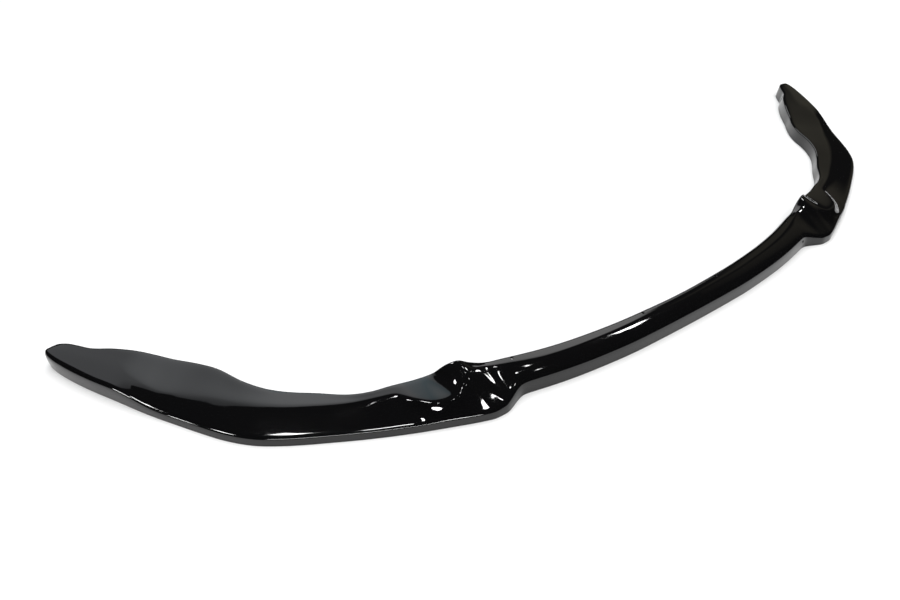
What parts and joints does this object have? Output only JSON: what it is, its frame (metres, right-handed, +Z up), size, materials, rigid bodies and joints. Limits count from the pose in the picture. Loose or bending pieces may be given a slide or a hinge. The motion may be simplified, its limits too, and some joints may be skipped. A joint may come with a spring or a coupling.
{
  "type": "front splitter lip",
  "caption": "Gloss black moulded lip that fits under a car's front bumper: a bowed strip in the middle steps out to swept wings that curve back along the sides and end in raised tips.",
  "frame": {"origin": "bottom centre of the lip's box, on the floor it rests on", "axes": "+X across the car along the lip's length, +Y to the rear of the car, +Z up"},
  "size_m": [1.8008, 0.493, 0.0503],
  "materials": {
    "gloss_black": "high gloss black"
  },
  "bodies": {
    "root": {"splitter_lip": "gloss_black"}
  },
  "joints": []
}
